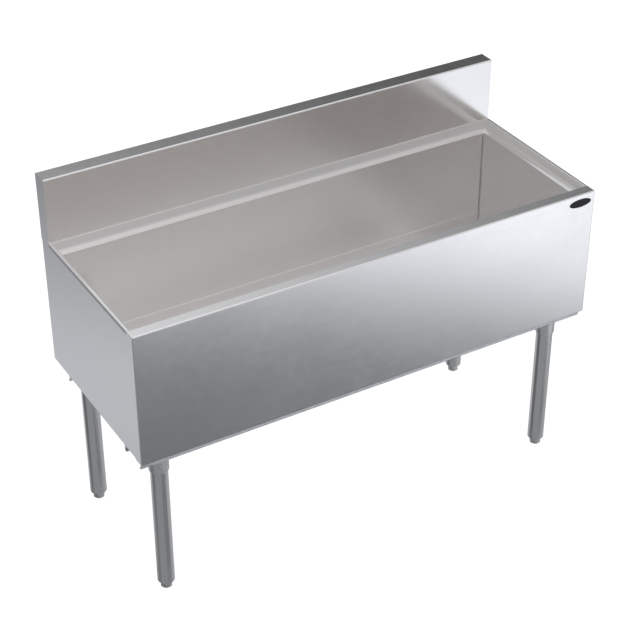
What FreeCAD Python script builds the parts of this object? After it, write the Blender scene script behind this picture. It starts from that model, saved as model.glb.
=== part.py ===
import FreeCAD, Part
import math, os

# Underbar ice bin: an insulated stainless tub in a sheet-metal case with a
# boxed backsplash, standing on four tubular legs with screw-in levelling feet.
# Frame: X across the width, Y from the front (-) to the wall (+), Z up, with
# the origin on the floor under the middle of the overall box. Millimetres.

# ---------------------------------------------------------------- dimensions
W = 1219.2            # overall width (48 in)
D = 482.6             # front face to back (19 in)
Z_RIM = 769.0         # working rim above the floor
Z_SPLASH = 931.6      # top of the backsplash
Z_APRON = 425.0       # bottom edge of the front apron
T = 1.2               # outer sheet
T_LINER = 1.0         # tub sheet
BEND = 2.2            # outside bend radius of the apron

RIM_DEPTH = 30.0      # flat front rim, front to back
APRON_TURN_Z = 742.0  # lower edge of the apron's inner down-turn
APRON_FOOT = 12.0     # bottom return of the apron

SIDE_X = W / 2 - T    # outer face of a side panel, under the apron's returns
SIDE_TOP = 758.5     # top of a side panel, under the rim's skirt
SIDE_Y1 = 479.4       # back edge of a side panel below the splash
SPLASH_Y = 438.5      # front face of the backsplash
SPLASH_RETURN_Z = 907.0

RIM_SKIRT_Z = 748.0   # lower edge of the rim's outer skirt
RIM_FLANGE_Z = 742.0  # lower edge of the ledge's hidden rear flange
RIM_TURN_Z = 733.0    # lower edge of the rim's down-turn, where the tub begins
RIM_W = 21.7          # inner face of a side panel to bin face
RIM_COVE_R = 26.0
INS_TOP = 738.0       # top of the insulation beside and behind the tub

FLOOR_Z = 506.5       # inside floor of the tub
TUB_X = SIDE_X - T - RIM_W
TUB_Y0 = RIM_DEPTH + T_LINER
TUB_Y1 = 425.0        # the ledge's edge stands 4 mm in front of this wall
TUB_R = 2.5           # inside corner radius of the tub

CH_T = 2.0            # leg channel sheet
CH_X = 605.5          # half length of a leg channel
CH_W = 83.0
CH_BOTTOM = 406.5
CH_TOP = Z_APRON + T
CH_FRONT_Y = 12.5
CH_REAR_Y = 398.5
CH_NOTCH = 24.0       # the rear channel's rear flange stops this far short of its ends

LEG_X = 542.0
LEG_YF = 59.6
LEG_YR = 442.7
LEG_R = 41.3 / 2      # 1-5/8 in tube
LEG_WALL = 1.5
LEG_TOP = 418.0
LEG_BOTTOM = 20.4
SOCKET_R = 47.2 / 2
SOCKET_BOTTOM = 353.6
SOCKET_PLATE = 62.0
SOCKET_PLATE_T = 3.0
BOLT_OFF = 24.0       # socket bolts, from the leg axis along X and along Y
BOLT_R = 3.0
BOLT_HOLE_R = 3.3

FOOT_AF = 25.4        # hex foot across flats
FOOT_H = 15.3
FOOT_NECK_Z = 15.5
STEM_R = 7.94         # 5/8 in stem
STEM_BORE_R = 8.0
STEM_TOP = 72.0
INSERT_TOP = 58.0

DRAIN_X = -490.0      # at the left end of the tub
DRAIN_Y = 226.0
DRAIN_R = 33.4 / 2    # 1 in pipe
DRAIN_BORE_R = 12.7
DRAIN_END_Z = 385.0

BADGE_T = 0.8
BADGE_X = 567.5
BADGE_Z = Z_RIM - 22.5
BADGE_A = 31.7
BADGE_B = 10.8

Y_SHIFT = (D - BADGE_T) / 2.0

os.makedirs("parts", exist_ok=True)
V = FreeCAD.Vector
H = W / 2
LEGS = {"front_left": (-LEG_X, LEG_YF), "front_right": (LEG_X, LEG_YF),
        "rear_left": (-LEG_X, LEG_YR), "rear_right": (LEG_X, LEG_YR)}


# ------------------------------------------------------------------ helpers
# All helpers take Y measured back from the front face.
def box(x0, x1, y0, y1, z0, z1):
    return Part.makeBox(x1 - x0, y1 - y0, z1 - z0, V(x0, y0 - Y_SHIFT, z0))


def cyl(x, y, z0, z1, r):
    return Part.makeCylinder(r, z1 - z0, V(x, y - Y_SHIFT, z0), V(0, 0, 1))


def cyl_y(x, z, y0, y1, r):
    return Part.makeCylinder(r, y1 - y0, V(x, y0 - Y_SHIFT, z), V(0, 1, 0))


def ring(x, y, z0, z1, r_out, r_in):
    return cyl(x, y, z0, z1, r_out).cut(cyl(x, y, z0 - 1, z1 + 1, r_in))


def revolve(x, y, rz):
    pts = [V(x + r, y - Y_SHIFT, z) for r, z in rz]
    face = Part.Face(Part.makePolygon(pts + [pts[0]]))
    return face.revolve(V(x, y - Y_SHIFT, 0), V(0, 0, 1), 360)


def hexagon(x, y, z0, z1, af, turn=0.0):
    r = af / 2 / math.cos(math.pi / 6)
    pts = [V(x + r * math.cos(math.radians(60 * i + turn)),
             y - Y_SHIFT + r * math.sin(math.radians(60 * i + turn)), z0) for i in range(6)]
    return Part.Face(Part.makePolygon(pts + [pts[0]])).extrude(V(0, 0, z1 - z0))


def fillet(shape, r, want):
    edges = []
    for e in shape.Edges:
        a, b = e.Vertexes[0].Point, e.Vertexes[-1].Point
        if want(V(a.x, a.y + Y_SHIFT, a.z), V(b.x, b.y + Y_SHIFT, b.z)):
            edges.append(e)
    return shape.makeFillet(r, edges)


def near(a, b):
    return abs(a - b) < 1e-4


def strip(points, t, radii, place, push):
    """A bent sheet: centreline points, thickness, a centreline bend radius for
    each inner point, a map of (u, v) into space, and the extrusion vector."""
    n = len(points)
    d, nm = [], []
    for i in range(n - 1):
        du, dv = points[i + 1][0] - points[i][0], points[i + 1][1] - points[i][1]
        l = math.hypot(du, dv)
        d.append((du / l, dv / l))
        nm.append((-dv / l, du / l))
    bends = []
    for i in range(1, n - 1):
        a, b, r, p = d[i - 1], d[i], radii[i - 1], points[i]
        turn = a[0] * b[1] - a[1] * b[0]
        s = 1.0 if turn > 0 else -1.0
        ang = math.acos(max(-1.0, min(1.0, a[0] * b[0] + a[1] * b[1])))
        tl = r * math.tan(ang / 2)
        t1 = (p[0] - a[0] * tl, p[1] - a[1] * tl)
        t2 = (p[0] + b[0] * tl, p[1] + b[1] * tl)
        c = (t1[0] + nm[i - 1][0] * r * s, t1[1] + nm[i - 1][1] * r * s)
        m = (p[0] - c[0], p[1] - c[1])
        ml = math.hypot(*m)
        bends.append((t1, t2, c, (m[0] / ml, m[1] / ml), r, s))

    def side(off):
        out = [("p", (points[0][0] + nm[0][0] * off, points[0][1] + nm[0][1] * off))]
        for i, (t1, t2, c, m, r, s) in enumerate(bends):
            rr = r - s * off
            out.append(("p", (t1[0] + nm[i][0] * off, t1[1] + nm[i][1] * off)))
            out.append(("m", (c[0] + m[0] * rr, c[1] + m[1] * rr)))
            out.append(("p", (t2[0] + nm[i + 1][0] * off, t2[1] + nm[i + 1][1] * off)))
        out.append(("p", (points[-1][0] + nm[-1][0] * off, points[-1][1] + nm[-1][1] * off)))
        return out

    loop = side(t / 2) + side(-t / 2)[::-1]
    loop.append(loop[0])
    edges, i = [], 0
    while i < len(loop) - 1:
        if loop[i + 1][0] == "m":
            edges.append(Part.Arc(place(*loop[i][1]), place(*loop[i + 1][1]), place(*loop[i + 2][1])).toShape())
            i += 2
        else:
            edges.append(Part.LineSegment(place(*loop[i][1]), place(*loop[i + 1][1])).toShape())
            i += 1
    return Part.Face(Part.Wire(edges)).extrude(push)


def strip_x(points, t, radii, x0, x1):
    """Profile in (y, z), run along X."""
    return strip(points, t, radii, lambda u, v: V(x0, u - Y_SHIFT, v), V(x1 - x0, 0, 0))


def strip_y(points, t, radii, y0, y1):
    """Profile in (x, z), run along Y."""
    return strip(points, t, radii, lambda u, v: V(u, y0 - Y_SHIFT, v), V(0, y1 - y0, 0))


def mirror_x(shape):
    return shape.mirror(V(0, 0, 0), V(1, 0, 0))


def save(name, *solids):
    out = []
    for s in solids:
        s = s.removeSplitter() if len(s.Solids) == 1 else s
        found = s.Solids
        if not found:
            raise ValueError(name + " has no solid")
        out += found
    shape = out[0] if len(out) == 1 else Part.makeCompound(out)
    if not shape.isValid():
        raise ValueError(name + " is not valid")
    shape.exportStep("parts/" + name + ".step")
    bb = shape.BoundBox
    print("%-24s %2d solid  %9.1f cm3  x %.1f..%.1f  y %.1f..%.1f  z %.1f..%.1f" % (
        name, len(out), shape.Volume / 1000, bb.XMin, bb.XMax, bb.YMin + Y_SHIFT, bb.YMax + Y_SHIFT, bb.ZMin, bb.ZMax))


# ------------------------------------------------------------------- casing
# Front apron: one folded tray with a flat top rim, an inner down-turn, side
# returns lapped over the side panels, and a short bottom return.
outer = box(-H, H, 0, RIM_DEPTH, Z_APRON, Z_RIM)


def front_edges(a, b):
    on_front = near(a.y, 0) and near(b.y, 0)
    along_y = not near(a.y, b.y)
    rear_top = near(a.y, RIM_DEPTH) and near(b.y, RIM_DEPTH) and near(a.z, Z_RIM) and near(b.z, Z_RIM)
    return on_front or along_y or rear_top


outer = fillet(outer, BEND, front_edges)
inner = box(-H + T, H - T, T, RIM_DEPTH - T, Z_APRON + T, Z_RIM - T)
inner = inner.makeFillet(BEND - T, [e for e in inner.Edges if e.Length > 1])
apron = outer.cut(inner)
apron = apron.cut(box(-H + T, H - T, RIM_DEPTH - 1.5 * T, RIM_DEPTH + 1, Z_APRON - 1, APRON_TURN_Z))
apron = apron.cut(box(-H + T + 2.4, H - T - 2.4, APRON_FOOT, RIM_DEPTH + 1, Z_APRON - 1, Z_APRON + 2 * T))
# clear lanes behind the side returns for the side panels
for x0, x1 in ((-SIDE_X, -SIDE_X + 2 * T), (SIDE_X - 2 * T, SIDE_X)):
    apron = apron.cut(box(x0, x1, 2.8, RIM_DEPTH + 1, Z_APRON + T, SIDE_TOP + 0.2))
save("front_apron", apron)

# Side panels: flat sheet with a bottom flange, a rear flange for the back
# panel, and an upper leg that closes the end of the backsplash.
SCREW_Z = [470.0, 542.0, 614.0, 686.0, 748.0]
SCREW_X = 599.6


def side_panel():
    p = strip_y([(-SIDE_X + T / 2, SIDE_TOP), (-SIDE_X + T / 2, Z_APRON + 1.5 * T), (-588.0, Z_APRON + 1.5 * T)],
                T, [1.8], 3.0, SIDE_Y1)
    p = p.fuse(box(-SIDE_X, -SIDE_X + T, SPLASH_Y, D, SIDE_TOP - 22, Z_SPLASH).cut(
        box(-SIDE_X - 1, -SIDE_X + T + 1, SIDE_Y1, D + 1, SIDE_TOP - 30, SIDE_TOP)))
    p = p.fuse(box(-SIDE_X + T / 2, -592.0, SIDE_Y1 - T, SIDE_Y1, Z_APRON + 4 * T, SIDE_TOP - 1))
    for z in SCREW_Z:
        p = p.cut(cyl_y(-SCREW_X, z, SIDE_Y1 - 5, SIDE_Y1 + 5, 2.1))
    return p.removeSplitter()


left_side = side_panel()
save("left_side_panel", left_side)
save("right_side_panel", mirror_x(left_side))

# Backsplash: face, flat top and a turned-down rear edge, one folded sheet.
splash = strip_x([(SPLASH_Y + T / 2, Z_RIM), (SPLASH_Y + T / 2, Z_SPLASH - T / 2),
                  (D - T / 2, Z_SPLASH - T / 2), (D - T / 2, SPLASH_RETURN_Z)],
                 T, [2.0, 2.0], -SIDE_X + T, SIDE_X - T)
save("backsplash", splash)

# Hat-section brace behind the backsplash face.
BR = SPLASH_Y + T + T / 2
brace = strip_x([(BR, 808.0), (BR, 824.0), (BR + 25, 826.0), (BR + 25, 852.0), (BR, 854.0), (BR, 870.0)],
                T, [1.6, 1.6, 1.6, 1.6], -585.0, 585.0)
save("backsplash_brace", brace)

# Back panel, screwed to the rear flanges of the side panels.
rear = box(-605.5, 605.5, SIDE_Y1, SIDE_Y1 + T, Z_APRON + 3 * T, 918.0)
for sx in (-1, 1):
    for z in SCREW_Z:
        rear = rear.cut(cyl_y(sx * SCREW_X, z, SIDE_Y1 - 5, SIDE_Y1 + 5, 2.1))
save("rear_panel", rear)
screws = []
for sx in (-1, 1):
    for z in SCREW_Z:
        head = cyl_y(sx * SCREW_X, z, SIDE_Y1 + T, SIDE_Y1 + T + 1.8, 4.2)
        head = fillet(head, 1.0, lambda a, b: near(a.y, SIDE_Y1 + T + 1.8) and near(b.y, SIDE_Y1 + T + 1.8))
        slot = box(sx * SCREW_X - 3.0, sx * SCREW_X + 3.0, SIDE_Y1 + T + 0.9, SIDE_Y1 + T + 3, z - 0.5, z + 0.5)
        slot = slot.fuse(box(sx * SCREW_X - 0.5, sx * SCREW_X + 0.5, SIDE_Y1 + T + 0.9, SIDE_Y1 + T + 3, z - 3.0, z + 3.0))
        screws.append(head.cut(slot).fuse(cyl_y(sx * SCREW_X, z, SIDE_Y1 - 9, SIDE_Y1 + T + 0.2, 2.0)).removeSplitter())
save("rear_panel_screws", *screws)

# ---------------------------------------------------------------------- rim
# A rolled rim runs down the left side, along the splash and down the right
# side: narrow flat top, hollow slope, down-turn. Each side rim has a skirt
# lapped over its side panel; the ledge has a flange under the splash.
h = T / 2
X_RIM = SIDE_X - T
SIDE_CREST = 5.2      # centreline corner of the flat top, in from the panel
REAR_CREST = 1.0      # the same, out from the splash
HOLLOW = [(0, Z_RIM - h), (8.48, 745.10), (15.9, 739.71), (15.9, RIM_TURN_Z)]
SIDE_RIM = [(-T - h, RIM_SKIRT_Z), (-T - h, 759.5), (-1.02, Z_RIM - h)] + [(SIDE_CREST + u, z) for u, z in HOLLOW]
REAR_RIM = [(-12.0 + h, RIM_FLANGE_Z), (-12.0 + h, Z_RIM - h)] + [(REAR_CREST + u, z) for u, z in HOLLOW]


def mitre():
    """Everything behind the left rear mitre plane, as a tall wedge."""
    x, y = -X_RIM + SIDE_CREST, SPLASH_Y - REAR_CREST - Y_SHIFT
    pts = [V(x - 60, y + 60, 700), V(x + 90, y - 90, 700), V(x + 90, y + 60, 700)]
    return Part.Face(Part.makePolygon(pts + [pts[0]])).extrude(V(0, 0, 100))


left_rim = strip_y([(-X_RIM + u, z) for u, z in SIDE_RIM], T, [1.0, 1.5, 1.0, RIM_COVE_R, 2.2], RIM_DEPTH, SPLASH_Y)
left_rim = left_rim.cut(mitre())
save("left_rim", left_rim)
save("right_rim", mirror_x(left_rim))

ledge = strip_x([(SPLASH_Y - u, z) for u, z in REAR_RIM], T, [1.5, 1.0, RIM_COVE_R, 2.2], -X_RIM, X_RIM)
ledge = ledge.common(mitre().fuse(mirror_x(mitre())).fuse(box(-X_RIM + 60, X_RIM - 60, SPLASH_Y - 90, SPLASH_Y + 60, 700, 800)).fuse(
    box(-X_RIM, X_RIM, SPLASH_Y, SPLASH_Y + 20, 700, 800)))
save("rear_ledge", ledge)

# ---------------------------------------------------------------------- tub
tub = box(-TUB_X - T_LINER, TUB_X + T_LINER, TUB_Y0 - T_LINER, TUB_Y1 + T_LINER, FLOOR_Z - T_LINER, RIM_TURN_Z)
tub = fillet(tub, TUB_R + T_LINER, lambda a, b: not (near(a.z, RIM_TURN_Z) and near(b.z, RIM_TURN_Z)))
well = box(-TUB_X, TUB_X, TUB_Y0, TUB_Y1, FLOOR_Z, RIM_TURN_Z + 40)
well = fillet(well, TUB_R, lambda a, b: not (near(a.z, RIM_TURN_Z + 40) and near(b.z, RIM_TURN_Z + 40)))
tub = tub.fuse(box(-TUB_X + 0.1 + TUB_R, TUB_X - 0.1 - TUB_R, TUB_Y0 - T_LINER, TUB_Y0, RIM_TURN_Z - 5, Z_RIM - 3.0))
tub = tub.fuse(box(-TUB_X + 0.1 + TUB_R, TUB_X - 0.1 - TUB_R, TUB_Y1, TUB_Y1 + T_LINER, RIM_TURN_Z - 5, 741.2))
# dished seat for the drain, then the hole through it
tub = tub.fuse(cyl(DRAIN_X, DRAIN_Y, FLOOR_Z - 3.0 - T_LINER, FLOOR_Z - 0.5, 44.0 + T_LINER))
tub = tub.cut(well)
tub = tub.cut(cyl(DRAIN_X, DRAIN_Y, FLOOR_Z - 3.0, FLOOR_Z + 5, 44.0))
tub = tub.cut(cyl(DRAIN_X, DRAIN_Y, FLOOR_Z - 20, FLOOR_Z + 5, 26.0))
save("bin_liner", tub)

# --------------------------------------------------------------- insulation
INS_Z0 = 440.0
save("front_insulation", box(-606.6, 606.6, T + 0.5, RIM_DEPTH - T - 0.4, INS_Z0, Z_RIM - T - 0.8))
side_ins = box(-X_RIM + 0.4, -TUB_X - T - 0.3, RIM_DEPTH - T + 0.2, TUB_Y1 + T_LINER - 0.2, INS_Z0, INS_TOP)
save("left_insulation", side_ins)
save("right_insulation", mirror_x(side_ins))
save("rear_insulation", box(-590.5, 590.5, TUB_Y1 + T_LINER + 0.3, 476.0, INS_Z0, INS_TOP).cut(
    box(-620, 620, TUB_Y1 - 1, TUB_Y1 + 3, RIM_TURN_Z - 2, 800)))
save("floor_insulation", box(-TUB_X + 0.5, TUB_X - 0.5, TUB_Y0, TUB_Y1 - 0.5, INS_Z0, FLOOR_Z - T_LINER - 0.3).cut(
    cyl(DRAIN_X, DRAIN_Y, 400, 520, 50.0)))

# ------------------------------------------------------------- bottom and legs
bolt_xy = [(lx + sx * BOLT_OFF, ly + sy * BOLT_OFF)
           for lx, ly in LEGS.values() for sx in (-1, 1) for sy in (-1, 1)]
PAN_C = Z_APRON + 1.5 * T
pan = strip_x([(3.4, 437.0), (3.4, PAN_C), (476.6, PAN_C), (476.6, 437.0)], T, [1.8, 1.8], -587.5, 587.5)
pan = pan.cut(cyl(DRAIN_X, DRAIN_Y, 400, 450, 20.0))
for x, y in bolt_xy:
    pan = pan.cut(cyl(x, y, 400, 450, BOLT_HOLE_R))
save("bottom_pan", pan)


def leg_channel(y0):
    c = CH_T / 2
    y1 = y0 + CH_W
    s = strip_x([(y0 + 8.0, CH_BOTTOM + c), (y0 + c, CH_BOTTOM + c), (y0 + c, CH_TOP - c), (y1 - c, CH_TOP - c),
                 (y1 - c, CH_BOTTOM + c), (y1 - 8.0, CH_BOTTOM + c)], CH_T, [2.0] * 4, -CH_X, CH_X)
    for x, y in bolt_xy:
        if y0 < y < y1:
            s = s.cut(cyl(x, y, 400, 450, BOLT_HOLE_R))
    return s


rear_channel = leg_channel(CH_REAR_Y)
for x in (-CH_X, CH_X - CH_NOTCH):
    rear_channel = rear_channel.cut(box(x - 1, x + CH_NOTCH + 1, CH_REAR_Y + CH_W - 12, CH_REAR_Y + CH_W + 1, CH_BOTTOM - 1, CH_TOP + 1))
save("front_leg_channel", leg_channel(CH_FRONT_Y))
save("rear_leg_channel", rear_channel)

PLATE_TOP = CH_TOP - CH_T
PLATE_BOTTOM = PLATE_TOP - SOCKET_PLATE_T
SET_Z = 376.0
SET_DIR = {"front_left": V(0, 1, 0), "front_right": V(0, 1, 0), "rear_left": V(1, 0, 0), "rear_right": V(-1, 0, 0)}
set_screws = []
for name, (lx, ly) in LEGS.items():
    half = SOCKET_PLATE / 2
    plate = box(lx - half, lx + half, ly - half, ly + half, PLATE_BOTTOM, PLATE_TOP)
    plate = fillet(plate, 5.0, lambda a, b: not near(a.z, b.z))
    r_in = LEG_R + 0.3
    tube = revolve(lx, ly, [(r_in, SOCKET_BOTTOM + 0.8), (r_in + 0.8, SOCKET_BOTTOM), (SOCKET_R - 0.8, SOCKET_BOTTOM),
                            (SOCKET_R, SOCKET_BOTTOM + 0.8), (SOCKET_R, PLATE_BOTTOM - 3.0),
                            (SOCKET_R + 3.0, PLATE_BOTTOM), (SOCKET_R + 3.0, PLATE_BOTTOM + 0.5), (r_in, PLATE_BOTTOM + 0.5)])
    s = plate.cut(cyl(lx, ly, PLATE_BOTTOM - 1, PLATE_TOP + 1, r_in)).fuse(tube)
    for sx in (-1, 1):
        for sy in (-1, 1):
            s = s.cut(cyl(lx + sx * BOLT_OFF, ly + sy * BOLT_OFF, 400, 450, BOLT_HOLE_R))
    d = SET_DIR[name]
    base = V(lx, ly - Y_SHIFT, SET_Z)
    s = s.cut(Part.makeCylinder(4.05, 30, base, d))
    save("leg_socket_" + name, s)

    # cup-point set screw that locks the leg in its socket
    body = Part.makeCylinder(4.0, 6.2, base + d * (LEG_R + 0.05), d)
    key = Part.makeCylinder(2.0, 4, base + d * (LEG_R + 3.6), d)
    set_screws.append(body.cut(key))

    leg = revolve(lx, ly, [(LEG_R - LEG_WALL, LEG_BOTTOM), (LEG_R, LEG_BOTTOM), (LEG_R, LEG_TOP - 0.5),
                           (LEG_R - 0.5, LEG_TOP), (LEG_R - LEG_WALL, LEG_TOP)])
    save("leg_" + name, leg)

    ri = LEG_R - LEG_WALL - 0.05
    insert = revolve(lx, ly, [(STEM_BORE_R, FOOT_NECK_Z), (15.5, FOOT_NECK_Z), (LEG_R, LEG_BOTTOM - 0.2), (LEG_R, LEG_BOTTOM),
                              (ri, LEG_BOTTOM), (ri, INSERT_TOP - 1.5), (ri - 1.5, INSERT_TOP), (STEM_BORE_R, INSERT_TOP)])
    save("foot_insert_" + name, insert)

    hexa = hexagon(lx, ly, 0, FOOT_H, FOOT_AF)
    turned = revolve(lx, ly, [(0, 0), (11.8, 0), (15.0, 2.4), (15.0, FOOT_H - 1.3), (13.2, FOOT_H), (0, FOOT_H)])
    stem = revolve(lx, ly, [(0, FOOT_H - 0.5), (STEM_R, FOOT_H - 0.5), (STEM_R, STEM_TOP - 1.2), (STEM_R - 1.2, STEM_TOP), (0, STEM_TOP)])
    save("foot_" + name, hexa.common(turned).fuse(stem))
save("leg_set_screws", *set_screws)

bolts, nuts = [], []
for x, y in bolt_xy:
    head = hexagon(x, y, PLATE_BOTTOM - 4.0, PLATE_BOTTOM, 10.0)
    bolts.append(head.fuse(cyl(x, y, PLATE_BOTTOM - 0.5, 434.5, BOLT_R)).removeSplitter())
    nuts.append(hexagon(x, y, Z_APRON + 2 * T, Z_APRON + 2 * T + 5.0, 10.0, 15.0).cut(cyl(x, y, 400, 450, BOLT_R + 0.05)))
save("leg_socket_bolts", *bolts)
save("leg_socket_nuts", *nuts)

# -------------------------------------------------------------------- drain
SEAT = FLOOR_Z - 3.0
save("drain_gasket", ring(DRAIN_X, DRAIN_Y, SEAT, SEAT + 1.5, 38.0, 26.2))
FL = SEAT + 1.5
drain = revolve(DRAIN_X, DRAIN_Y, [(DRAIN_BORE_R, DRAIN_END_Z), (DRAIN_R - 1.2, DRAIN_END_Z), (DRAIN_R, DRAIN_END_Z + 1.2),
                             (DRAIN_R, 420.0), (DRAIN_R - 0.3, 420.3), (DRAIN_R - 0.3, 470.0), (25.5, 474.0), (25.5, FL), (41.0, FL), (41.0, FLOOR_Z - 0.5), (40.5, FLOOR_Z),
                             (29.0, FLOOR_Z), (27.0, FLOOR_Z - 1.5), (24.6, FLOOR_Z - 1.5), (24.6, FLOOR_Z - 4.0), (22.0, FLOOR_Z - 4.0),
                             (22.0, 486.0), (DRAIN_BORE_R, 480.0)])
save("drain_fitting", drain)
nut_top = SEAT - T_LINER
save("drain_locknut", hexagon(DRAIN_X, DRAIN_Y, nut_top - 11.0, nut_top, 66.0, 15.0).cut(cyl(DRAIN_X, DRAIN_Y, 400, 520, 25.6)))
save("drain_grommet", revolve(DRAIN_X, DRAIN_Y, [(DRAIN_R - 0.25, 423.2), (23.5, 423.2), (24.5, 424.2), (24.5, 426.1), (19.9, 426.1),
                                           (19.9, 427.5), (24.5, 427.5), (24.5, 429.4), (23.5, 430.4), (DRAIN_R - 0.25, 430.4)]))

# Lift-out strainer: perforated plate with a locating skirt and a finger ring.
ST = FLOOR_Z - 4.0
plate = cyl(DRAIN_X, DRAIN_Y, ST, ST + 1.5, 24.2)
plate = fillet(plate, 0.6, lambda a, b: near(a.z, ST + 1.5) and near(b.z, ST + 1.5))
st = plate.fuse(ring(DRAIN_X, DRAIN_Y, ST - 12.0, ST + 0.5, 21.5, 20.3))
for n, r, rh in ((6, 9.5, 2.2), (12, 16.0, 2.2)):
    for i in range(n):
        a = 2 * math.pi * i / n
        st = st.cut(cyl(DRAIN_X + r * math.cos(a), DRAIN_Y + r * math.sin(a), ST - 1, ST + 4, rh))
knob = revolve(DRAIN_X, DRAIN_Y, [(0, ST), (3.6, ST), (3.6, ST + 2.2), (5.0, ST + 2.8), (5.0, ST + 3.4), (4.4, ST + 3.8), (0, ST + 3.8)])
save("drain_strainer", st.fuse(knob))

# --------------------------------------------------------------- blank badge
el = Part.Ellipse(V(BADGE_X, -Y_SHIFT, BADGE_Z), BADGE_A, BADGE_B)
wire = Part.Wire([el.toShape()])
badge = Part.Face(wire)
badge.rotate(V(BADGE_X, -Y_SHIFT, BADGE_Z), V(1, 0, 0), 90)
badge = badge.extrude(V(0, -BADGE_T, 0))
badge = badge.makeFillet(0.35, [e for e in badge.Edges if all(near(v.Point.y, -Y_SHIFT - BADGE_T) for v in e.Vertexes)])
save("blank_nameplate", badge)
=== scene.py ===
import math

import bmesh
import bpy
from mathutils import Matrix, Vector


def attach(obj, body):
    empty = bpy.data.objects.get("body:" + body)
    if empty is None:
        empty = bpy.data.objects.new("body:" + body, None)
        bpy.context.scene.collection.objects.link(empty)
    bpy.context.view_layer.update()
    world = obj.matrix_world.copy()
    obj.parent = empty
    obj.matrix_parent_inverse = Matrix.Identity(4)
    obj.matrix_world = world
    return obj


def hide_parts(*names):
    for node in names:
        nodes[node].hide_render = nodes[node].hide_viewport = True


# Underbar ice bin: satin stainless case and tub, galvanised underside, tubular
# legs with threaded levelling feet, and a drain. Metres, in the model's frame.

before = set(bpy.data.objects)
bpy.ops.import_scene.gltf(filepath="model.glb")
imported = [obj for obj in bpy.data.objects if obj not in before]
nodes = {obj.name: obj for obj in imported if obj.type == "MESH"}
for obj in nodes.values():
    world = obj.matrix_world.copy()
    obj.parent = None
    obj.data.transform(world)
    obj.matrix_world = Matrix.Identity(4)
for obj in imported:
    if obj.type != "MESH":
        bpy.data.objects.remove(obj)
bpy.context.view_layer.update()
scene = bpy.context.scene

Y0 = -0.2409            # front face
LEGS = {"front_left": (-0.5420, 0.0596 + Y0), "front_right": (0.5420, 0.0596 + Y0),
        "rear_left": (-0.5420, 0.4427 + Y0), "rear_right": (0.5420, 0.4427 + Y0)}
DRAIN = (-0.490, 0.226 + Y0)


# ------------------------------------------------------------------- camera
cam_data = bpy.data.cameras.new("camera")
cam = bpy.data.objects.new("camera", cam_data)
scene.collection.objects.link(cam)
cam_data.sensor_width = 36.0
cam_data.lens = 96.0847
cam_data.clip_start = 0.05
cam_data.clip_end = 200.0
right = Vector((0.860003887, -0.510287414, 0.000263319))
down = Vector((-0.28445325, -0.4798259, -0.82997196))
ahead = Vector((0.4236504, 0.71370432, -0.55780505))
cam.matrix_world = Matrix((
    (right.x, -down.x, -ahead.x, -1.76980733),
    (right.y, -down.y, -ahead.y, -2.96315361),
    (right.z, -down.z, -ahead.z, 2.7859388),
    (0, 0, 0, 1)))
scene.camera = cam


# ------------------------------------------------------------- node helpers
class Tree:
    """A small wrapper for building node trees."""

    def __init__(self, nt):
        self.nt = nt
        nt.nodes.clear()

    def new(self, kind, **props):
        n = self.nt.nodes.new(kind)
        for k, v in props.items():
            setattr(n, k, v)
        return n

    def put(self, value, socket):
        if hasattr(value, "is_output"):
            self.nt.links.new(value, socket)
        else:
            socket.default_value = value

    def math(self, op, a, b=0.0, clamp=False):
        n = self.new("ShaderNodeMath", operation=op, use_clamp=clamp)
        self.put(a, n.inputs[0])
        self.put(b, n.inputs[1])
        return n.outputs[0]

    def ramp(self, value, a, b, c, d, smooth=False):
        n = self.new("ShaderNodeMapRange", interpolation_type="SMOOTHSTEP" if smooth else "LINEAR")
        for s, v in zip(n.inputs, (value, a, b, c, d)):
            self.put(v, s)
        return n.outputs[0]

    def mix(self, fac, a, b, blend="MIX"):
        n = self.new("ShaderNodeMix", data_type="RGBA", blend_type=blend)
        self.put(fac, n.inputs[0])
        self.put(a, n.inputs[6])
        self.put(b, n.inputs[7])
        return n.outputs[2]

    def mixf(self, fac, a, b):
        n = self.new("ShaderNodeMix", data_type="FLOAT")
        self.put(fac, n.inputs[0])
        self.put(a, n.inputs[2])
        self.put(b, n.inputs[3])
        return n.outputs[0]

    def where(self):
        return self.new("ShaderNodeTexCoord").outputs["Object"]

    def scaled(self, vec, scale, loc=(0, 0, 0)):
        n = self.new("ShaderNodeMapping")
        self.put(vec, n.inputs["Vector"])
        n.inputs["Scale"].default_value = scale
        n.inputs["Location"].default_value = loc
        return n.outputs[0]

    def noise(self, vec, scale=1.0, detail=2.0, rough=0.5, distort=0.0):
        n = self.new("ShaderNodeTexNoise")
        self.put(vec, n.inputs["Vector"])
        n.inputs["Scale"].default_value = scale
        n.inputs["Detail"].default_value = detail
        n.inputs["Roughness"].default_value = rough
        n.inputs["Distortion"].default_value = distort
        return n.outputs[0]

    def voronoi(self, vec, scale, feature="F1"):
        n = self.new("ShaderNodeTexVoronoi", feature=feature)
        self.put(vec, n.inputs["Vector"])
        n.inputs["Scale"].default_value = scale
        return n

    def bump(self, height, strength, distance, normal=None):
        n = self.new("ShaderNodeBump")
        n.inputs["Strength"].default_value = strength
        n.inputs["Distance"].default_value = distance
        self.put(height, n.inputs["Height"])
        if normal is not None:
            self.put(normal, n.inputs["Normal"])
        return n.outputs[0]

    def normal_axis(self, i):
        g = self.new("ShaderNodeNewGeometry")
        s = self.new("ShaderNodeSeparateXYZ")
        self.nt.links.new(g.outputs["Normal"], s.inputs[0])
        return self.math("ABSOLUTE", s.outputs[i])

    def xyz(self, vec):
        s = self.new("ShaderNodeSeparateXYZ")
        self.nt.links.new(vec, s.inputs[0])
        return s.outputs

    def surface(self, **inputs):
        p = self.new("ShaderNodeBsdfPrincipled")
        for k, v in inputs.items():
            self.put(v, p.inputs[k.replace("_", " ")])
        out = self.new("ShaderNodeOutputMaterial")
        self.nt.links.new(p.outputs[0], out.inputs["Surface"])
        return p


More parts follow.
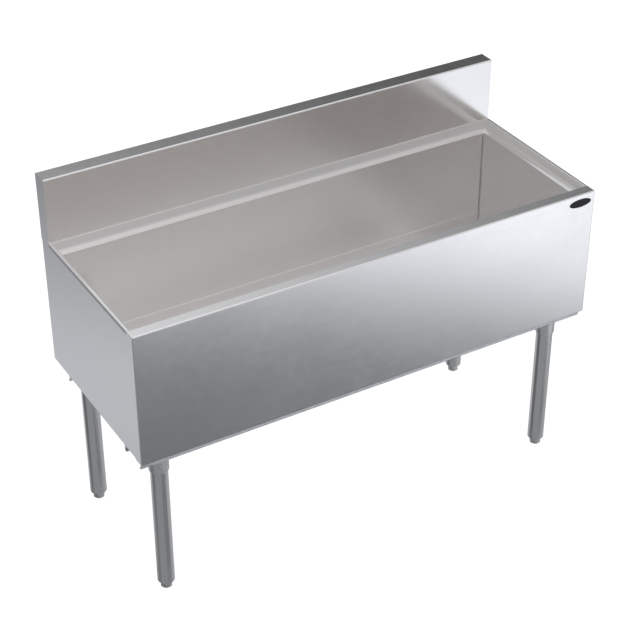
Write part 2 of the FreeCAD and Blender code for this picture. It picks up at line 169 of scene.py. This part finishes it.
def material(name):
    m = bpy.data.materials.new(name)
    m.use_nodes = True
    return m, Tree(m.node_tree)


def rgb(c, k=1.0):
    return (c[0] * k, c[1] * k, c[2] * k, 1.0)


def grain_scale(axis, along, across):
    return tuple(along if i == axis else across for i in range(3))


# ---------------------------------------------------------------- materials
STEEL = (0.899, 0.886, 0.877)
TUB_STEEL = (0.891, 0.877, 0.868)


def brushed(name, base, rough, axis, end_axis=None, spread=0.02, streak=0.02, bump=0.03, cloud=0.009, tub=False):
    """Satin sheet: long fine polishing lines along one axis, soft wiping
    clouds in the gloss, faint colour drift. Faces square to `axis` take
    `end_axis` for their lines, as a sheet that is bent or joined there. With
    tub set, a painted shade line darkens the colour in the tub's upright
    corners, which are also rougher where its walls are joined."""
    m, t = material(name)
    p = t.where()

    def lines(ax):
        broad = t.noise(t.scaled(p, grain_scale(ax, 5.0, 420.0)), detail=3.0, rough=0.6)
        fine = t.noise(t.scaled(p, grain_scale(ax, 22.0, 2300.0), (3.1, 1.7, 0.4)), detail=2.0, rough=0.55)
        return broad, fine

    broad, fine = lines(axis)
    if end_axis is not None:
        f = t.ramp(t.normal_axis(axis), 0.6, 0.8, 0.0, 1.0)
        b2, f2 = lines(end_axis)
        broad, fine = t.mixf(f, broad, b2), t.mixf(f, fine, f2)
    wipe = t.noise(p, scale=5.5, detail=3.0, rough=0.55, distort=0.4)
    spots = t.noise(p, scale=46.0, detail=2.0, rough=0.5)
    tone = t.ramp(t.math("ADD", t.math("MULTIPLY", broad, 0.6), t.math("MULTIPLY", fine, 0.4)), 0.3, 0.7, 0.0, 1.0)
    colour = t.mix(tone, rgb(base, 1 - streak), rgb(base, 1 + streak))
    colour = t.mix(t.ramp(wipe, 0.35, 0.7, 0.0, 0.35), colour, rgb((base[0] * 0.985, base[1] * 0.985, base[2] * 1.0)))
    r = t.math("ADD", t.ramp(fine, 0.25, 0.75, rough - spread, rough + spread),
               t.math("ADD", t.ramp(wipe, 0.3, 0.75, -cloud, cloud), t.ramp(spots, 0.35, 0.7, -0.005, 0.008)))
    if tub:
        c = t.xyz(p)
        deep = t.math("ABSOLUTE", t.math("ADD", c[1], 0.0129))
        # painted shade: the colour is darkened to a dark line in the tub's upright corners where the walls meet; the
        # roughness is also raised there
        corner_shade = t.math("MULTIPLY", t.ramp(t.math("ABSOLUTE", c[0]), 0.5815, 0.5845, 0.0, 1.0), t.ramp(deep, 0.1930, 0.1960, 0.0, 1.0))
        colour = t.mix(t.math("MULTIPLY", corner_shade, t.ramp(spots, 0.3, 0.7, 0.7, 1.0)), colour, rgb(base, 0.45))
        r = t.math("ADD", r, t.math("MULTIPLY", corner_shade, 0.12))
    t.surface(Base_Color=colour, Metallic=1.0, Roughness=r,
              Normal=t.bump(t.math("ADD", t.math("MULTIPLY", broad, 0.5), fine), bump, 0.00012))
    return m


def galvanised(name):
    """Zinc-coated sheet with a frosty crystal spangle."""
    m, t = material(name)
    p = t.where()
    warp = t.noise(p, scale=40.0, detail=2.0)
    off = t.new("ShaderNodeVectorMath", operation="MULTIPLY_ADD")
    t.put(warp, off.inputs[0])
    off.inputs[1].default_value = (0.008, 0.008, 0.008)
    t.put(p, off.inputs[2])
    v = t.voronoi(off.outputs[0], 62.0)
    s = t.xyz(v.outputs["Color"])
    dirn = t.noise(t.scaled(p, (900.0, 300.0, 900.0)), detail=2.0)
    tone = t.math("ADD", t.math("MULTIPLY", s[0], 0.75), t.math("MULTIPLY", dirn, 0.25))
    colour = t.mix(t.ramp(tone, 0.1, 0.9, 0.0, 1.0), (0.66, 0.67, 0.68, 1), (0.82, 0.83, 0.84, 1))
    white = t.noise(p, scale=9.0, detail=4.0, rough=0.65)
    colour = t.mix(t.ramp(white, 0.58, 0.78, 0.0, 0.35), colour, (0.84, 0.845, 0.85, 1))
    t.surface(Base_Color=colour, Metallic=1.0, Roughness=t.math("ADD", t.ramp(s[1], 0.0, 1.0, 0.32, 0.46), t.ramp(white, 0.5, 0.8, 0.0, 0.12)),
              Normal=t.bump(tone, 0.08, 0.0002))
    return m


def tube_steel(name, base, rough):
    """Leg tube: lines drawn along the tube and a faint ring of handling wear."""
    m, t = material(name)
    p = t.where()
    drawn = t.noise(t.scaled(p, (700.0, 700.0, 6.0)), detail=3.0, rough=0.6)
    fine = t.noise(t.scaled(p, (2600.0, 2600.0, 30.0)), detail=2.0)
    wipe = t.noise(p, scale=14.0, detail=3.0, distort=0.5)
    z = t.xyz(p)[2]
    low = t.math("MULTIPLY", t.ramp(z, 0.02, 0.12, 1.0, 0.0, smooth=True), t.ramp(wipe, 0.35, 0.7, 0.2, 1.0))
    colour = t.mix(t.ramp(drawn, 0.3, 0.7, 0.0, 1.0), rgb(base, 0.95), rgb(base, 1.05))
    colour = t.mix(t.math("MULTIPLY", low, 0.35), colour, rgb(base, 0.78))
    r = t.math("ADD", t.ramp(fine, 0.25, 0.75, rough - 0.03, rough + 0.04), t.math("MULTIPLY", low, 0.12))
    t.surface(Base_Color=colour, Metallic=1.0, Roughness=r, Normal=t.bump(drawn, 0.05, 0.0001))
    return m


def plated(name, base, rough, mottle=0.10, scale=120.0):
    """Zinc-plated or turned steel: fine mottling, dull patches, tiny nicks."""
    m, t = material(name)
    p = t.where()
    a = t.noise(p, scale=scale, detail=4.0, rough=0.6)
    b = t.noise(p, scale=scale * 5, detail=2.0)
    v = t.voronoi(p, scale * 2.5)
    nick = t.ramp(v.outputs["Distance"], 0.02, 0.10, 1.0, 0.0)
    colour = t.mix(t.ramp(a, 0.3, 0.7, 0.0, 1.0), rgb(base, 1 - mottle), rgb(base, 1 + mottle * 0.6))
    colour = t.mix(t.math("MULTIPLY", nick, 0.25), colour, rgb(base, 0.6))
    r = t.math("ADD", t.ramp(a, 0.3, 0.75, rough - 0.04, rough + 0.08), t.ramp(b, 0.3, 0.7, -0.02, 0.03))
    t.surface(Base_Color=colour, Metallic=1.0, Roughness=r, Normal=t.bump(t.math("SUBTRACT", b, nick), 0.06, 0.0001))
    return m


def chrome(name):
    """Polished drain metal with dried water spots."""
    m, t = material(name)
    p = t.where()
    v = t.voronoi(p, 210.0)
    spot = t.ramp(v.outputs["Distance"], 0.10, 0.22, 1.0, 0.0)
    pick = t.ramp(t.xyz(v.outputs["Color"])[0], 0.72, 0.78, 0.0, 1.0)
    film = t.noise(p, scale=35.0, detail=3.0, rough=0.6)
    mark = t.math("MULTIPLY", spot, pick)
    colour = t.mix(t.ramp(film, 0.35, 0.7, 0.0, 1.0), (0.70, 0.70, 0.70, 1), (0.78, 0.78, 0.775, 1))
    colour = t.mix(t.math("MULTIPLY", mark, 0.35), colour, (0.60, 0.60, 0.58, 1))
    r = t.math("ADD", t.ramp(film, 0.3, 0.75, 0.07, 0.16), t.math("MULTIPLY", mark, 0.25))
    t.surface(Base_Color=colour, Metallic=1.0, Roughness=r, Normal=t.bump(film, 0.02, 0.0002))
    return m


def foam(name):
    """Rigid insulation board: cream, mottled, open-celled cut faces."""
    m, t = material(name)
    p = t.where()
    v = t.voronoi(p, 900.0)
    cell = t.ramp(v.outputs["Distance"], 0.0, 0.6, 0.0, 1.0)
    a = t.noise(p, scale=18.0, detail=4.0, rough=0.6)
    colour = t.mix(t.ramp(a, 0.3, 0.7, 0.0, 1.0), (0.78, 0.68, 0.46, 1), (0.86, 0.79, 0.60, 1))
    colour = t.mix(t.math("MULTIPLY", cell, 0.3), colour, (0.62, 0.52, 0.33, 1))
    t.surface(Base_Color=colour, Roughness=t.ramp(a, 0.3, 0.7, 0.82, 0.95), Normal=t.bump(cell, 0.35, 0.0006))
    return m


def rubber(name):
    m, t = material(name)
    p = t.where()
    a = t.noise(p, scale=160.0, detail=4.0, rough=0.65)
    dust = t.noise(p, scale=30.0, detail=3.0)
    colour = t.mix(t.ramp(dust, 0.45, 0.75, 0.0, 0.5), (0.018, 0.018, 0.019, 1), (0.075, 0.073, 0.07, 1))
    t.surface(Base_Color=colour, Roughness=t.ramp(a, 0.3, 0.7, 0.55, 0.75), Normal=t.bump(a, 0.15, 0.0004))
    return m


def enamel(name):
    """Glossy black plate with a worn bright edge and hair scratches."""
    m, t = material(name)
    p = t.where()
    c = t.xyz(p)
    u = t.math("DIVIDE", t.math("SUBTRACT", c[0], 0.5675), 0.0317)
    w = t.math("DIVIDE", t.math("SUBTRACT", c[2], 0.7465), 0.0108)
    e = t.math("SQRT", t.math("ADD", t.math("MULTIPLY", u, u), t.math("MULTIPLY", w, w)))
    hair = t.noise(t.scaled(p, (60.0, 60.0, 3000.0)), detail=2.0)
    edge = t.ramp(t.math("ADD", e, t.math("MULTIPLY", t.noise(p, scale=500.0), 0.03)), 0.985, 1.0, 0.0, 1.0)
    colour = t.mix(t.ramp(hair, 0.55, 0.75, 0.0, 0.25), (0.012, 0.012, 0.013, 1), (0.05, 0.05, 0.052, 1))
    colour = t.mix(t.math("MULTIPLY", edge, 0.5), colour, (0.22, 0.22, 0.22, 1))
    t.surface(Base_Color=colour, Roughness=t.ramp(hair, 0.35, 0.7, 0.16, 0.30), Specular_IOR_Level=0.18, Normal=t.bump(hair, 0.02, 0.0001))
    return m


MAT = {
    "x": brushed("stainless_lines_x", STEEL, 0.165, 0, end_axis=1),
    "y": brushed("stainless_lines_y", STEEL, 0.165, 1, end_axis=0),
    "liner": brushed("stainless_tub", TUB_STEEL, 0.215, 0, end_axis=1, tub=True),
    "galvanised": galvanised("galvanised"),
    "socket": plated("socket_steel", (0.82, 0.81, 0.80), 0.26, mottle=0.05, scale=90.0),
    "leg": tube_steel("leg_tube", (0.86, 0.845, 0.83), 0.18),
    "foot": plated("foot_metal", (0.72, 0.71, 0.70), 0.28),
    "fastener": plated("zinc_fastener", (0.58, 0.58, 0.56), 0.32),
    "drain": chrome("drain_chrome"),
    "foam": foam("insulation_foam"),
    "rubber": rubber("black_rubber"),
    "plate": enamel("black_enamel"),
}
LOOK = {
    "front_apron": "x", "backsplash": "x", "rear_ledge": "x", "left_rim": "y", "right_rim": "y",
    "left_side_panel": "y", "right_side_panel": "y", "bin_liner": "liner",
    "backsplash_brace": "galvanised", "rear_panel": "galvanised", "bottom_pan": "galvanised",
    "front_leg_channel": "galvanised", "rear_leg_channel": "galvanised",
    "rear_panel_screws": "fastener", "leg_set_screws": "fastener", "leg_socket_bolts": "fastener", "leg_socket_nuts": "fastener",
    "drain_fitting": "drain", "drain_locknut": "drain", "drain_strainer": "drain",
    "drain_gasket": "rubber", "drain_grommet": "rubber", "blank_nameplate": "plate",
}
for n in nodes:
    if n.endswith("_insulation"):
        LOOK[n] = "foam"
for n in LEGS:
    LOOK["leg_socket_" + n] = "socket"
    LOOK["leg_" + n] = "leg"
    LOOK["foot_insert_" + n] = "foot"
    LOOK["foot_" + n] = "foot"
for n, o in nodes.items():
    o.data.materials.clear()
    o.data.materials.append(MAT[LOOK[n]])


# ----------------------------------------------------------- detailed pieces
def turned(name, rings, segments, start=None, end=None, closed=False, sharp=0.5):
    """A turned mesh from stacked rings of (radius, height), where a radius may
    be a function of the angle and the height. start and end close the stack
    with a point on the axis; closed joins the last ring to the first."""
    bm = bmesh.new()
    rows = []
    for r, z in rings:
        row = []
        for j in range(segments):
            a = 2 * math.pi * j / segments
            k = r(a, z) if callable(r) else r
            row.append(bm.verts.new((k * math.cos(a), k * math.sin(a), z)))
        rows.append(row)
    pairs = list(zip(rows[:-1], rows[1:]))
    if closed:
        pairs.append((rows[-1], rows[0]))
    for low, high in pairs:
        for j in range(segments):
            k = (j + 1) % segments
            bm.faces.new((low[j], low[k], high[k], high[j]))
    if start is not None:
        c = bm.verts.new((0, 0, start))
        for j in range(segments):
            bm.faces.new((c, rows[0][(j + 1) % segments], rows[0][j]))
    if end is not None:
        c = bm.verts.new((0, 0, end))
        for j in range(segments):
            bm.faces.new((c, rows[-1][j], rows[-1][(j + 1) % segments]))
    bmesh.ops.recalc_face_normals(bm, faces=bm.faces)
    for f in bm.faces:
        f.smooth = True
    for e in bm.edges:
        if e.calc_face_angle(0.0) > sharp:
            e.smooth = False
    me = bpy.data.meshes.new(name)
    bm.to_mesh(me)
    bm.free()
    o = bpy.data.objects.new(name, me)
    scene.collection.objects.link(o)
    return o


def screw(crest, root, pitch):
    """Radius of a screw thread by angle and height: flat crest and root with
    slanted flanks."""
    def radius(a, z):
        u = abs((z / pitch - a / (2 * math.pi)) % 1.0 - 0.5) * 2
        return crest + (root - crest) * min(1.0, max(0.0, (u - 0.16) / 0.66))
    return radius


def steps(a, b, n):
    return [a + (b - a) * i / n for i in range(n + 1)]


def levelling_foot(where, x, y):
    """Hex foot with turned chamfers and a 5/8-11 screw stem, one piece."""
    def hexagon(limit):
        def radius(a, z):
            return min(limit(z), 0.0127 / math.cos(a % (math.pi / 3) - math.pi / 6))
        return radius

    low = hexagon(lambda z: 0.0118 + (0.0150 - 0.0118) * z / 0.0024)
    high = hexagon(lambda z: 0.0150 - (0.0150 - 0.0132) * (z - 0.0140) / 0.0013)
    thread = screw(0.00792, 0.00662, 0.0254 / 11)

    def stem(a, z):
        return min(thread(a, z), 0.00794 - max(0.0, z - 0.0708), 0.00662 + max(0.0, z - 0.0164) * 1.2)

    rings = [(0.0118, 0.0)] + [(low, z) for z in steps(0.0005, 0.0024, 4)]
    rings += [(high, z) for z in steps(0.0140, 0.0153, 4)] + [(0.0074, 0.0153), (0.00662, 0.0157)]
    rings += [(stem, z) for z in steps(0.0161, 0.0720, 194)]
    o = turned("levelling_foot_" + where, rings, 48, start=0.0, end=0.0720, sharp=0.42)
    o.location = (x, y, 0.0)
    o.data.materials.append(MAT["foot"])
    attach(o, "foot_" + where)
    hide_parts("foot_" + where)
    return o


for where, (x, y) in LEGS.items():
    levelling_foot(where, x, y)


def drain_tailpiece():
    """Flanged drain cup with its strainer seat and a tail threaded for a 1 in
    pipe fitting."""
    thread = screw(0.0167, 0.0154, 0.0254 / 11.5)

    def tail(a, z):
        return min(thread(a, z), 0.0155 + (z - 0.385))

    profile = [(0.0127, 0.3850), (0.0155, 0.3850)] + [(tail, z) for z in steps(0.3853, 0.4195, 124)]
    profile += [(0.0164, 0.4203), (0.0164, 0.4700), (0.0210, 0.4718), (0.0255, 0.4740), (0.0255, 0.5050), (0.0410, 0.5050), (0.0410, 0.5060),
                (0.04085, 0.50635), (0.0405, 0.5065), (0.0290, 0.5065), (0.0282, 0.50625), (0.0270, 0.5050), (0.0246, 0.5050), (0.0246, 0.5025),
                (0.0220, 0.5025), (0.0220, 0.4865), (0.0215, 0.4857), (0.0127, 0.4800)]
    o = turned("drain_tailpiece", profile, 96, closed=True, sharp=0.45)
    o.location = (DRAIN[0], DRAIN[1], 0.0)
    o.data.materials.append(MAT["drain"])
    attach(o, "bin")
    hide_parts("drain_fitting")
    return o


drain_tailpiece()


# -------------------------------------------------------------------- stage
def pale_floor():
    me = bpy.data.meshes.new("floor")
    bm = bmesh.new()
    bmesh.ops.create_circle(bm, cap_ends=True, radius=40.0, segments=96)
    bm.to_mesh(me)
    bm.free()
    o = bpy.data.objects.new("floor", me)
    scene.collection.objects.link(o)
    m, t = material("pale_floor")
    p = t.where()
    a = t.noise(p, scale=1.5, detail=2.0)
    colour = t.mix(a, (0.30, 0.30, 0.30, 1), (0.31, 0.31, 0.31, 1))
    t.surface(Base_Color=colour, Roughness=0.9, Emission_Color=(1.0, 1.0, 1.0, 1.0), Emission_Strength=0.88)
    me.materials.append(m)
    o.visible_glossy = False
    return o


pale_floor()


# Brightness of the studio surround by height, front and back, left and right.
# The first number tilts the height with x; then pairs of height and strength.
STUDIO = {
    "front_right": (0.093, [
        (-1.0, 0.40), (-0.75, 0.24), (-0.68, 0.20), (-0.63, 0.16), (-0.59, 0.15), (-0.56, 0.17), (-0.53, 0.14), (-0.50, 0.43),
        (-0.47, 1.21), (-0.44, 1.33), (-0.40, 0.92), (-0.34, 0.88), (-0.28, 1.40), (-0.18, 1.30), (-0.06, 0.62), (0.15, 0.48), (0.3, 0.54),
        (0.42, 0.60), (0.6, 0.71), (0.72, 0.72), (0.86, 0.66), (1.0, 0.88)]),
    "front_left": (0.0, [
        (-1.0, 0.31), (-0.7, 0.26), (-0.6, 0.26), (-0.5, 0.30), (-0.3, 0.42), (-0.1, 0.53), (0.15, 0.56), (0.4, 0.47), (0.6, 0.45), (0.8, 0.53), (1.0, 0.88)]),
    "back_right": (-0.16, [
        (-1.0, 0.55), (-0.6, 0.33), (-0.45, 0.29), (-0.2, 0.34), (0.1, 0.28), (0.22, 0.13), (0.30, 0.01), (0.36, 0.06), (0.40, 0.13), (0.44, 0.30),
        (0.48, 0.63), (0.52, 0.78), (0.57, 0.97), (0.65, 1.25), (0.8, 1.25), (1.0, 0.88)]),
    "back_left": (-0.3, [
        (-1.0, 0.44), (-0.8, 0.28), (-0.70, 0.20), (-0.64, 0.20), (-0.60, 0.26), (-0.56, 0.41), (-0.52, 0.57), (-0.48, 0.59),
        (-0.42, 0.35), (-0.36, 0.21), (-0.3, 0.27), (-0.15, 0.54), (0.0, 0.68), (0.2, 0.64), (0.35, 0.55), (0.5, 0.51), (0.65, 0.56),
        (0.8, 0.76), (1.0, 0.88)]),
}


def studio():
    """Soft studio surround: bright low front right, dim low front left, a dim
    wall behind and a broad overhead light, all in smooth gradients."""
    w = bpy.data.worlds.new("studio")
    scene.world = w
    w.use_nodes = True
    t = Tree(w.node_tree)
    d = t.new("ShaderNodeTexCoord").outputs["Generated"]
    x, y, z = t.xyz(d)

    def gradient(name):
        tilt, stops = STUDIO[name]
        n = t.new("ShaderNodeValToRGB", label=name)
        r = n.color_ramp
        r.interpolation = "LINEAR"
        while len(r.elements) > 1:
            r.elements.remove(r.elements[-1])
        r.elements[0].position = stops[0][0] * 0.5 + 0.5
        for s, _ in stops[1:]:
            r.elements.new(s * 0.5 + 0.5)
        for e, (s, v) in zip(r.elements, stops):
            e.color = (v * 0.5, v * 0.5, v * 0.5, 1)
        height = t.math("ADD", z, t.math("MULTIPLY", x, tilt))
        t.put(t.math("ADD", t.math("MULTIPLY", height, 0.5), 0.5), n.inputs[0])
        return n.outputs[0]

    to_back = t.ramp(y, -0.14, 0.14, 0.0, 1.0, smooth=True)
    to_left = t.ramp(x, 0.05, -0.15, 0.0, 1.0, smooth=True)
    falls_off = t.math("MULTIPLY", t.ramp(z, -0.25, 0.0, 0.0, 1.0, smooth=True), t.ramp(x, 0.30, 0.60, 0.0, 0.30))
    front_right = t.mix(falls_off, gradient("front_right"), (0.0, 0.0, 0.0, 1))
    strip = t.math("MULTIPLY", t.ramp(z, -0.30, -0.45, 0.0, 1.0, smooth=True), t.ramp(x, 0.56, 0.70, 0.0, 1.0, smooth=True))
    front_right = t.mix(strip, front_right, (0.19, 0.19, 0.19, 1))
    front_right.node.label = "strip"
    flag = t.math("MULTIPLY", t.ramp(z, -0.15, -0.35, 0.0, 1.0, smooth=True), t.ramp(y, 0.70, 0.50, 0.0, 0.55))
    back_left = t.mix(flag, gradient("back_left"), (0.0, 0.0, 0.0, 1))
    env = t.mix(to_back, t.mix(to_left, front_right, gradient("front_left")),
                t.mix(to_left, gradient("back_right"), back_left))
    above = t.mix(to_back, (2.0, 2.0, 2.0, 1), (1.96, 2.0, 2.05, 1))
    env = t.mix(1.0, env, t.mix(t.ramp(z, -0.30, 0.05, 0.0, 1.0), (1.92, 2.0, 2.11, 1), above), blend="MULTIPLY")
    env.node.label = "tint"
    seen = t.new("ShaderNodeLightPath").outputs["Is Camera Ray"]
    env = t.mix(seen, env, (0.97, 0.97, 0.97, 1))
    b = t.new("ShaderNodeBackground")
    t.put(env, b.inputs["Color"])
    out = t.new("ShaderNodeOutputWorld")
    w.node_tree.links.new(b.outputs[0], out.inputs["Surface"])


studio()
scene.view_settings.view_transform = "Standard"
scene.view_settings.look = "None"
scene.cycles.max_bounces = 24
scene.cycles.glossy_bounces = 20
scene.cycles.denoising_input_passes = "RGB_ALBEDO"


# -------------------------------------------------------------------- finish
bpy.context.view_layer.update()
